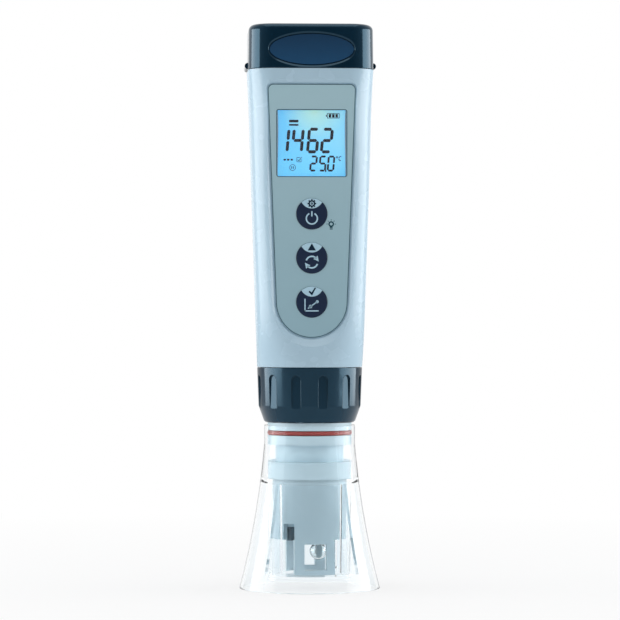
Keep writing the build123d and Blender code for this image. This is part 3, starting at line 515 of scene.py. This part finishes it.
def segment_outlines(figure, x, z, width, height, stroke):
    """Six-cornered outlines of a figure's segments, from its lower left corner."""
    half, gap = stroke / 2, SEGMENT_GAP * stroke
    left, right = x + half, x + width - half
    foot, middle, top = z + half, z + height / 2, z + height - half
    ends = {
        "a": ((left, top), (right, top)),
        "g": ((left, middle), (right, middle)),
        "d": ((left, foot), (right, foot)),
        "f": ((left, middle), (left, top)),
        "b": ((right, middle), (right, top)),
        "e": ((left, foot), (left, middle)),
        "c": ((right, foot), (right, middle)),
    }
    outlines = []
    for name in SEGMENTS[figure]:
        (x0, z0), (x1, z1) = ends[name]
        if z0 == z1:
            upright = [
                (x0 + gap, z0), (x0 + half, z0 + half), (x1 - half, z0 + half),
                (x1 - gap, z0), (x1 - half, z0 - half), (x0 + half, z0 - half),
            ]
        else:
            upright = [
                (x0, z0 + gap), (x0 - half, z0 + half), (x0 - half, z1 - half),
                (x0, z1 - gap), (x0 + half, z1 - half), (x0 + half, z0 + half),
            ]
        outlines.append([(px + SLANT * (pz - z), pz) for px, pz in upright])
    return outlines


# Layout of the display, in millimetres from the middle of its window

# Main reading: four large figures, each with its left edge
MAIN_FIGURES = (("1", -12.1), ("4", -7.2), ("6", -1.95), ("2", 2.8))
MAIN_FOOT = -3.4
MAIN_WIDTH, MAIN_HEIGHT, MAIN_STROKE = 4.15, 8.8, 1.05

# Temperature: three small figures, a point, a degree ring and its unit
SMALL_FIGURES = (("2", -0.85), ("5", 2.3), ("0", 5.15))
SMALL_FOOT = -9.65
SMALL_WIDTH, SMALL_HEIGHT, SMALL_STROKE = 2.6, 5.5, 0.68
POINT_X, POINT_FOOT = 4.62, -9.75
POINT_WIDTH, POINT_HEIGHT = 0.5, 0.65
DEGREE_RING = (8.75, -4.75, 0.14, 0.36)
UNIT_X, UNIT_FOOT = 9.25, -6.0
UNIT_WIDTH, UNIT_HEIGHT, UNIT_STROKE = 1.05, 1.6, 0.3

# Two level bars at the upper left, each with its height and thickness
LEVEL_X = -7.7
LEVEL_LENGTH = 3.2
LEVEL_BARS = ((7.65, 0.9), (6.35, 0.6))

# Battery gauge at the upper right: a frame with a nub at its left and three filled cells
GAUGE_X, GAUGE_Z = 5.45, 9.5
GAUGE_WIDTH, GAUGE_HEIGHT, GAUGE_LINE = 4.1, 1.55, 0.2
GAUGE_NUB_OUT, GAUGE_NUB_HALF, GAUGE_NUB_LINE = 0.35, 0.35, 0.3
GAUGE_CELLS = (0.9, 2.05, 3.2)
GAUGE_CELL_WIDTH, GAUGE_CELL_HALF = 0.88, 0.58

# Marks at the lower left: three dashes, a square with a tick, and a ring with two strokes
MARK_ROW = -5.6
DASHES = (-9.6, -8.4, -7.2)
DASH_LENGTH, DASH_LINE = 0.8, 0.62
SQUARE_X, SQUARE_HALF, SQUARE_LINE = -4.3, 0.75, 0.18
SQUARE_SIDES = (((-1, -1), (1, -1)), ((1, -1), (1, 0.2)), ((-1, 1), (0.4, 1)), ((-1, 1), (-1, -1)))
TICK_POINTS = ((-0.45, 0.05), (-0.05, -0.4), (0.95, 0.95))
TICK_LINE = 0.2
ROUND_MARK = (-6.5, -8.3, 0.92, 1.1)
ROUND_STROKE_X, ROUND_STROKE_FOOT, ROUND_STROKE_TOP, ROUND_STROKE_LINE = 0.3, -0.4, 0.45, 0.26


def reading_outlines():
    """Figures of the main reading and of the temperature, with its point and unit."""
    outlines = []
    for figure, x in MAIN_FIGURES:
        outlines += segment_outlines(figure, x, MAIN_FOOT, MAIN_WIDTH, MAIN_HEIGHT, MAIN_STROKE)
    for figure, x in SMALL_FIGURES:
        outlines += segment_outlines(figure, x, SMALL_FOOT, SMALL_WIDTH, SMALL_HEIGHT, SMALL_STROKE)
    end, top = POINT_X + POINT_WIDTH, POINT_FOOT + POINT_HEIGHT
    outlines.append([(POINT_X, POINT_FOOT), (end, POINT_FOOT), (end, top), (POINT_X, top)])
    return outlines + segment_outlines("C", UNIT_X, UNIT_FOOT, UNIT_WIDTH, UNIT_HEIGHT, UNIT_STROKE)


def gauge_outlines():
    """Battery gauge."""
    left, right = GAUGE_X, GAUGE_X + GAUGE_WIDTH
    foot, top = GAUGE_Z - GAUGE_HEIGHT / 2, GAUGE_Z + GAUGE_HEIGHT / 2
    reach = GAUGE_LINE / 2
    nub_x = left - GAUGE_NUB_OUT
    outlines = [
        bar((left, top), (right, top), GAUGE_LINE),
        bar((left, foot), (right, foot), GAUGE_LINE),
        bar((right, foot - reach), (right, top + reach), GAUGE_LINE),
        bar((left, foot - reach), (left, top + reach), GAUGE_LINE),
        bar((nub_x, GAUGE_Z - GAUGE_NUB_HALF), (nub_x, GAUGE_Z + GAUGE_NUB_HALF), GAUGE_NUB_LINE),
    ]
    for step in GAUGE_CELLS:
        x = left + step
        outlines.append(bar((x, GAUGE_Z - GAUGE_CELL_HALF), (x, GAUGE_Z + GAUGE_CELL_HALF), GAUGE_CELL_WIDTH))
    return outlines


def corner_mark_outlines():
    """Dashes, the square with its tick, and the strokes inside the ring."""
    outlines = [bar((x, MARK_ROW), (x + DASH_LENGTH, MARK_ROW), DASH_LINE) for x in DASHES]

    def on_square(x, z, scale=1.0):
        return (SQUARE_X + x * scale, MARK_ROW + z * scale)

    for start, end in SQUARE_SIDES:
        outlines.append(bar(on_square(*start, SQUARE_HALF), on_square(*end, SQUARE_HALF), SQUARE_LINE))
    for start, end in zip(TICK_POINTS, TICK_POINTS[1:]):
        outlines.append(bar(on_square(*start), on_square(*end), TICK_LINE))
    ring_x, ring_z = ROUND_MARK[:2]
    foot, top = ring_z + ROUND_STROKE_FOOT, ring_z + ROUND_STROKE_TOP
    for side in (-1, 1):
        x = ring_x + side * ROUND_STROKE_X
        outlines.append(bar((x, foot), (x, top), ROUND_STROKE_LINE))
    return outlines


def build_display():
    """Readings and small marks on the display."""
    levels = [bar((LEVEL_X, z), (LEVEL_X + LEVEL_LENGTH, z), line) for z, line in LEVEL_BARS]
    outlines = reading_outlines() + levels + gauge_outlines() + corner_mark_outlines()
    low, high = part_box("display_window")
    place = ((low.x + high.x) / 2, (low.z + high.z) / 2)
    glass_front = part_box("lcd_glass")[0].y
    drawing = (outlines, [DEGREE_RING, ROUND_MARK])
    flat_print("display_segments", drawing, place, glass_front, INK_SEGMENT, "housing")


# Key faces, in millimetres from the middle of a key: a pale bite at the top of each disc,
# a dark mark in it and a pale mark below

KEY_R = 5.3
KEY_ROUND = 0.25
FACE_R = KEY_R - KEY_ROUND
SMALL_MARK_RISE = 3.5

# The circle that bites into the disc, and the angles from the top at which it meets the flat face's rim
BITE_R = 4.0
BITE_RISE = 5.84
BITE_MEETS = (FACE_R**2 + BITE_RISE**2 - BITE_R**2) / (2 * BITE_RISE)
RIM_ANGLE = acos(BITE_MEETS / FACE_R)
BITE_ANGLE = acos((BITE_RISE - BITE_MEETS) / BITE_R)
BITE_STEPS = 12
ROUND_STEPS = 4


def rim_angles():
    """Angles from the top along the part of the rim that the bite takes."""
    return [RIM_ANGLE * (1 - i / BITE_STEPS) for i in range(2 * BITE_STEPS + 1)]


def bite_drawing():
    """Lens between the key's rim and the circle that bites into its top."""
    top = [(FACE_R * sin(a), FACE_R * cos(a)) for a in rim_angles()]
    angles = [BITE_ANGLE * (i / BITE_STEPS - 1) for i in range(1, 2 * BITE_STEPS)]
    dip = [(BITE_R * sin(a), BITE_RISE - BITE_R * cos(a)) for a in angles]
    return [top + dip], []


def arrow_head(x, z, direction, size):
    """Triangle that points along a direction in degrees."""
    angles = [radians(direction + turn) for turn in (0, 125, 235)]
    return [(x + size * cos(a), z + size * sin(a)) for a in angles]


def gear_drawing():
    """Small gear with eight teeth, a thick rim and a dot in its middle."""
    tooth_foot, tooth_tip, tooth_width, teeth = 1.08, 1.4904, 0.5, 8
    outlines = []
    for step in range(teeth):
        a = 2 * pi * step / teeth
        foot = (tooth_foot * cos(a), tooth_foot * sin(a))
        tip = (tooth_tip * cos(a), tooth_tip * sin(a))
        outlines.append(bar(foot, tip, tooth_width))
    return outlines, [(0, 0, 0.66, 1.15), (0, 0, 0.12, 0.4)]


def triangle_drawing():
    """Upright triangle."""
    return [[(-1.4, -0.95), (1.4, -0.95), (0, 1.5)]], []


def tick_drawing():
    """Tick."""
    return [[(-1.15, -0.05), (-0.7, 0.38), (-0.12, -0.25), (1.0, 1.4), (1.45, 1.35), (0.05, -1.3)]], []


def power_drawing():
    """Open ring with a stroke at its top."""
    middle, inner, outer, start, end = -1.6, 1.66, 2.14, 118, 422
    stroke_foot, stroke_top, stroke_width = -0.9, 0.9, 0.48
    ring = arc_band(0, middle, inner, outer, start, end)
    return [ring, bar((0, stroke_foot), (0, stroke_top), stroke_width)], []


def cycle_drawing():
    """Two curved arrows that chase each other."""
    middle, inner, outer, start, end = -1.45, 1.72, 2.24, 162, 40
    head_r, head_angle, head_lean, head_size = 2.0, 34, -52, 1.15
    outlines = []
    for turn in (0, 180):
        outlines.append(arc_band(0, middle, inner, outer, start + turn, end + turn))
        a = radians(head_angle + turn)
        place = (head_r * cos(a), middle + head_r * sin(a))
        outlines.append(arrow_head(*place, head_lean + turn, head_size))
    return outlines, []


def graph_drawing():
    """Axes with a rising line and two dots on it."""
    line = 0.4
    outlines = [
        bar((-2.35, 1.1), (-2.35, -3.25), line),
        bar((-2.55, -3.05), (2.35, -3.05), line),
        bar((-1.3, -2.2), (1.75, 0.05), line),
    ]
    for x, z, radius in ((-0.45, -1.55, 0.6), (1.85, 0.1, 0.52)):
        outlines.append(circle_points(x, z, radius, count=24))
    return outlines, []


KEY_FACES = {
    "key_power": ("power_button", gear_drawing, power_drawing),
    "key_mode": ("mode_button", triangle_drawing, cycle_drawing),
    "key_calibrate": ("calibrate_button", tick_drawing, graph_drawing),
}


def build_rim_cover(node, body, place, front):
    """Carries the pale bite over the key's rounded edge."""
    quarter = [pi / 2 * k / ROUND_STEPS for k in range(ROUND_STEPS + 1)]
    sections = []
    for a in rim_angles():
        section = []
        for lift, turns in ((0.0, quarter), (PRINT_T, quarter[::-1])):
            round_r = KEY_ROUND * MM + lift
            for turn in turns:
                radius = FACE_R * MM + round_r * sin(turn)
                y = front + KEY_ROUND * MM - round_r * cos(turn)
                section.append((place[0] + radius * sin(a), y, place[1] + radius * cos(a)))
        sections.append(section)
    mesh = bmesh.new()
    swept(mesh, sections)
    piece = finish_piece(node + "_rim_cover", mesh, INK_LIGHT, body)
    piece.data.shade_smooth()


def build_key_faces():
    """Prints on the three keys."""
    for node, (body, small_drawing, large_drawing) in KEY_FACES.items():
        low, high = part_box(node)
        x, z, front = (low.x + high.x) / 2, (low.z + high.z) / 2, low.y
        mark_place = (x, z + SMALL_MARK_RISE * MM)
        flat_print(node + "_bite", bite_drawing(), (x, z), front, INK_LIGHT, body)
        build_rim_cover(node, body, (x, z), front)
        flat_print(
            node + "_small_mark", small_drawing(), mark_place, front, INK_DARK, body, layer=2
        )
        flat_print(node + "_large_mark", large_drawing(), (x, z), front, INK_LIGHT, body)


# Lamp mark on the panel, in millimetres: a ring with rays over a foot of three short lines

LAMP_OUT = 0.55
LAMP_BELOW = 3.5
LAMP_RING = (0, 0, 0.5, 0.98)
LAMP_FEET = (-1.25, -1.7)
LAMP_FOOT_HALF, LAMP_FOOT_LINE = 0.5, 0.3
LAMP_NECK_TOP, LAMP_NECK_FOOT, LAMP_NECK_LINE = -0.8, -1.05, 0.95
RAY_ANGLES = (0, 45, 90, 135, 180)
RAY_START, RAY_END, RAY_LINE = 1.2, 1.6, 0.22


def build_lamp_mark():
    """Small lamp pictogram on the panel beside the power key."""
    low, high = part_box("key_power")
    place = (high.x + LAMP_OUT * MM, (low.z + high.z) / 2 - LAMP_BELOW * MM)
    outlines = [bar((-LAMP_FOOT_HALF, z), (LAMP_FOOT_HALF, z), LAMP_FOOT_LINE) for z in LAMP_FEET]
    outlines.append(bar((0, LAMP_NECK_TOP), (0, LAMP_NECK_FOOT), LAMP_NECK_LINE))
    for angle in RAY_ANGLES:
        a = radians(angle)
        start, end = ((reach * cos(a), reach * sin(a)) for reach in (RAY_START, RAY_END))
        outlines.append(bar(start, end, RAY_LINE))
    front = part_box("keypad_panel")[0].y
    flat_print("lamp_mark", (outlines, [LAMP_RING]), place, front, INK_TEAL, "housing")


# Panel and window as the source draws them, in metres

PANEL_FOOT_R = 12.25 * MM
PANEL_CORNER_R = 2.0 * MM
WINDOW_WIDTH = 23.8 * MM
WINDOW_HEIGHT = 22.7 * MM
WINDOW_CORNER_R = 0.6 * MM
LINE_GAP = 0.02 * MM
LINE_WIDTH = 0.26 * MM


def panel_points(low, high, inset):
    """Outline of the keypad panel: a wide arc at the foot and two corners, joined by straight sides."""
    foot_x, foot_z = (low.x + high.x) / 2, low.z + PANEL_FOOT_R
    corner_x, corner_z = high.x - PANEL_CORNER_R - foot_x, high.z - PANEL_CORNER_R
    lean = atan2(corner_z - foot_z, corner_x)
    opening = acos((PANEL_FOOT_R - PANEL_CORNER_R) / hypot(corner_x, corner_z - foot_z))
    side = degrees(lean - opening)
    foot_r, corner_r = PANEL_FOOT_R - inset, PANEL_CORNER_R - inset
    return (
        arc_points(foot_x, foot_z, foot_r, 180 - side, 360 + side, count=61)
        + arc_points(foot_x + corner_x, corner_z, corner_r, side, 90, count=13)
        + arc_points(foot_x - corner_x, corner_z, corner_r, 90, 180 - side, count=13)
    )


def window_points(x, z, grow):
    """Outline of the window: a rectangle with small round corners, grown outwards."""
    across, up = WINDOW_WIDTH / 2 - WINDOW_CORNER_R, WINDOW_HEIGHT / 2 - WINDOW_CORNER_R
    points = []
    for side_x, side_z, start in ((1, 1, 0), (-1, 1, 90), (-1, -1, 180), (1, -1, 270)):
        radius = WINDOW_CORNER_R + grow
        points += arc_points(x + side_x * across, z + side_z * up, radius, start, start + 90, count=7)
    return points


def build_line(name, outer, inner):
    """Thin dark line on the panel, between two outlines; round the window it is painted shade."""
    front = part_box("keypad_panel")[0].y
    mesh = bmesh.new()
    band_prism(mesh, outer, inner, front, front - PRINT_T)
    finish_piece(name, mesh, INK_LINE_AND_SHADE, "housing")


def build_panel_lines():
    """Dark line round the panel, and a line of painted shade round its window, where the window's wall is in
    shadow.
    """
    low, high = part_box("keypad_panel")
    build_line(
        "panel_line", panel_points(low, high, LINE_GAP), panel_points(low, high, LINE_GAP + LINE_WIDTH)
    )
    low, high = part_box("display_window")
    x, z = (low.x + high.x) / 2, (low.z + high.z) / 2
    # Painted shade: the dark line round the window stands in for the shadow of the window's wall
    build_line("window_shade_line", window_points(x, z, LINE_GAP + LINE_WIDTH), window_points(x, z, LINE_GAP))


# Thread on the housing's neck, with its root just under the neck's skin

THREAD_RISE = 1.6 * MM
THREAD_PITCH = 3.0 * MM
THREAD_TURNS = 3.0
THREAD_STEPS = 240
THREAD_ROOT_R = 15.36 * MM
THREAD_CREST_R = 16.05 * MM
THREAD_ROOT_HALF = 0.75 * MM
THREAD_CREST_HALF = 0.22 * MM
# The ridge rises to its full height over this part of its length, from the least share at its ends
THREAD_RUN_IN = 1 / 14
THREAD_LEAST = 0.02


def build_thread():
    """Helical ridge with tapered ends round the neck."""
    start_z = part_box("housing")[0].z + THREAD_RISE
    sections = []
    for step in range(THREAD_STEPS + 1):
        share = step / THREAD_STEPS
        angle = 2 * pi * THREAD_TURNS * share
        height = max(min(1.0, share / THREAD_RUN_IN, (1 - share) / THREAD_RUN_IN), THREAD_LEAST)
        crest = THREAD_ROOT_R + (THREAD_CREST_R - THREAD_ROOT_R) * height
        z = start_z + THREAD_PITCH * THREAD_TURNS * share
        profile = (
            (THREAD_ROOT_R, z - THREAD_ROOT_HALF),
            (crest, z - THREAD_CREST_HALF),
            (crest, z + THREAD_CREST_HALF),
            (THREAD_ROOT_R, z + THREAD_ROOT_HALF),
        )
        sections.append([(r * cos(angle), r * sin(angle), h) for r, h in profile])
    mesh = bmesh.new()
    swept(mesh, sections)
    finish_piece("neck_thread", mesh, MATERIALS["white_housing"], "housing")


build_display()
build_key_faces()
build_lamp_mark()
build_panel_lines()
build_thread()


# Floor, sky, lamps and camera


def build_floor():
    """Pale floor that keeps the shadow near the meter and melts into the white ground further out."""
    mesh = bmesh.new()
    bmesh.ops.create_circle(mesh, cap_ends=True, radius=FLOOR_R, segments=96)
    data = bpy.data.meshes.new("floor")
    mesh.to_mesh(data)
    mesh.free()
    floor = bpy.data.objects.new("floor", data)
    bpy.context.scene.collection.objects.link(floor)
    material = new_material("floor", Base_Color=(*FLOOR_COLOUR, 1.0), Roughness=0.9)
    data.materials.append(material)
    white = add_node(material, "ShaderNodeEmission", Strength=1.0)
    distance = add_node(material, "ShaderNodeVectorMath", operation="LENGTH")
    join(material, place_of(material), distance.inputs[0])
    span = {"From Min": FLOOR_FADE_START, "From Max": FLOOR_FADE_END, "To Min": FLOOR_WHITE_LEAST}
    fade = add_node(material, "ShaderNodeMapRange", **span)
    join(material, distance.outputs["Value"], fade.inputs["Value"])
    share = add_node(material, "ShaderNodeMath", operation="MULTIPLY")
    join(material, seen_directly(material), share.inputs[0])
    join(material, fade.outputs["Result"], share.inputs[1])
    mix = add_node(material, "ShaderNodeMixShader")
    join(material, share.outputs[0], mix.inputs["Fac"])
    join(material, shader_of(material).outputs[0], mix.inputs[1])
    join(material, white.outputs[0], mix.inputs[2])
    join(material, mix.outputs[0], material.node_tree.nodes["Material Output"].inputs["Surface"])


def build_sky():
    """Even sky: white where the camera, glass or water looks at it, softer as a light."""
    sky = bpy.data.worlds.new("sky")
    bpy.context.scene.world = sky
    sky.use_nodes = True
    background = sky.node_tree.nodes["Background"]
    background.inputs["Color"].default_value = (1.0, 1.0, 1.0, 1.0)
    heading = add_node(sky, "ShaderNodeTexCoord")
    split = add_node(sky, "ShaderNodeSeparateXYZ")
    span = {"From Min": -1.0, "To Min": SKY_GLOSS_AHEAD, "To Max": SKY_GLOSS_BEHIND}
    gloss = add_node(sky, "ShaderNodeMapRange", **span)
    join(sky, heading.outputs["Generated"], split.inputs["Vector"])
    join(sky, split.outputs["Y"], gloss.inputs["Value"])
    path = add_node(sky, "ShaderNodeLightPath")
    as_light = add_node(sky, "ShaderNodeMix", A=SKY_STRENGTH)
    join(sky, path.outputs["Is Glossy Ray"], as_light.inputs["Factor"])
    join(sky, gloss.outputs["Result"], as_light.inputs["B"])
    strength = add_node(sky, "ShaderNodeMix", B=SKY_SEEN)
    join(sky, seen_directly(sky), strength.inputs["Factor"])
    join(sky, as_light.outputs["Result"], strength.inputs["A"])
    join(sky, strength.outputs["Result"], background.inputs["Strength"])


def add_card(name, place, aim, width, height, power):
    """Area lamp that faces a point and isn't seen by the camera."""
    lamp = bpy.data.lights.new(name, "AREA")
    lamp.shape = "RECTANGLE"
    lamp.size, lamp.size_y = width, height
    lamp.energy = power
    card = bpy.data.objects.new(name, lamp)
    card.location = place
    card.rotation_euler = (Vector(aim) - Vector(place)).to_track_quat("-Z", "Y").to_euler()
    card.visible_camera = False
    bpy.context.scene.collection.objects.link(card)


def build_lamps():
    """Cards at both sides and the softbox overhead."""
    for side, word in ((-1, "left"), (1, "right")):
        place = (side * CARD_X, CARD_Y, CARD_Z)
        add_card("card_" + word, place, (0.0, CARD_Y, CARD_Z), CARD_LENGTH, CARD_HEIGHT, CARD_POWER)
    place, aim = (0.0, TOP_Y, TOP_HEIGHT), (0.0, 0.0, TOP_AIM_HEIGHT)
    add_card("softbox", place, aim, TOP_SIZE, TOP_SIZE, TOP_POWER)


def build_camera():
    """Camera at the photograph's viewing angle."""
    lens = bpy.data.cameras.new("camera")
    lens.sensor_width = SENSOR_WIDTH
    lens.lens = SENSOR_WIDTH * CAMERA_DISTANCE / VIEW_WIDTH
    lens.clip_start, lens.clip_end = CLIP_NEAR, CLIP_FAR
    camera = bpy.data.objects.new("camera", lens)
    camera.location = (-CAMERA_DISTANCE * sin(CAMERA_YAW), -CAMERA_DISTANCE * cos(CAMERA_YAW), CAMERA_HEIGHT)
    aim = Vector((AIM_X, 0.0, AIM_HEIGHT)) - camera.location
    camera.rotation_euler = aim.to_track_quat("-Z", "Y").to_euler()
    bpy.context.scene.collection.objects.link(camera)
    bpy.context.scene.camera = camera


build_floor()
build_sky()
build_lamps()
build_camera()
bpy.context.scene.view_settings.view_transform = "Standard"
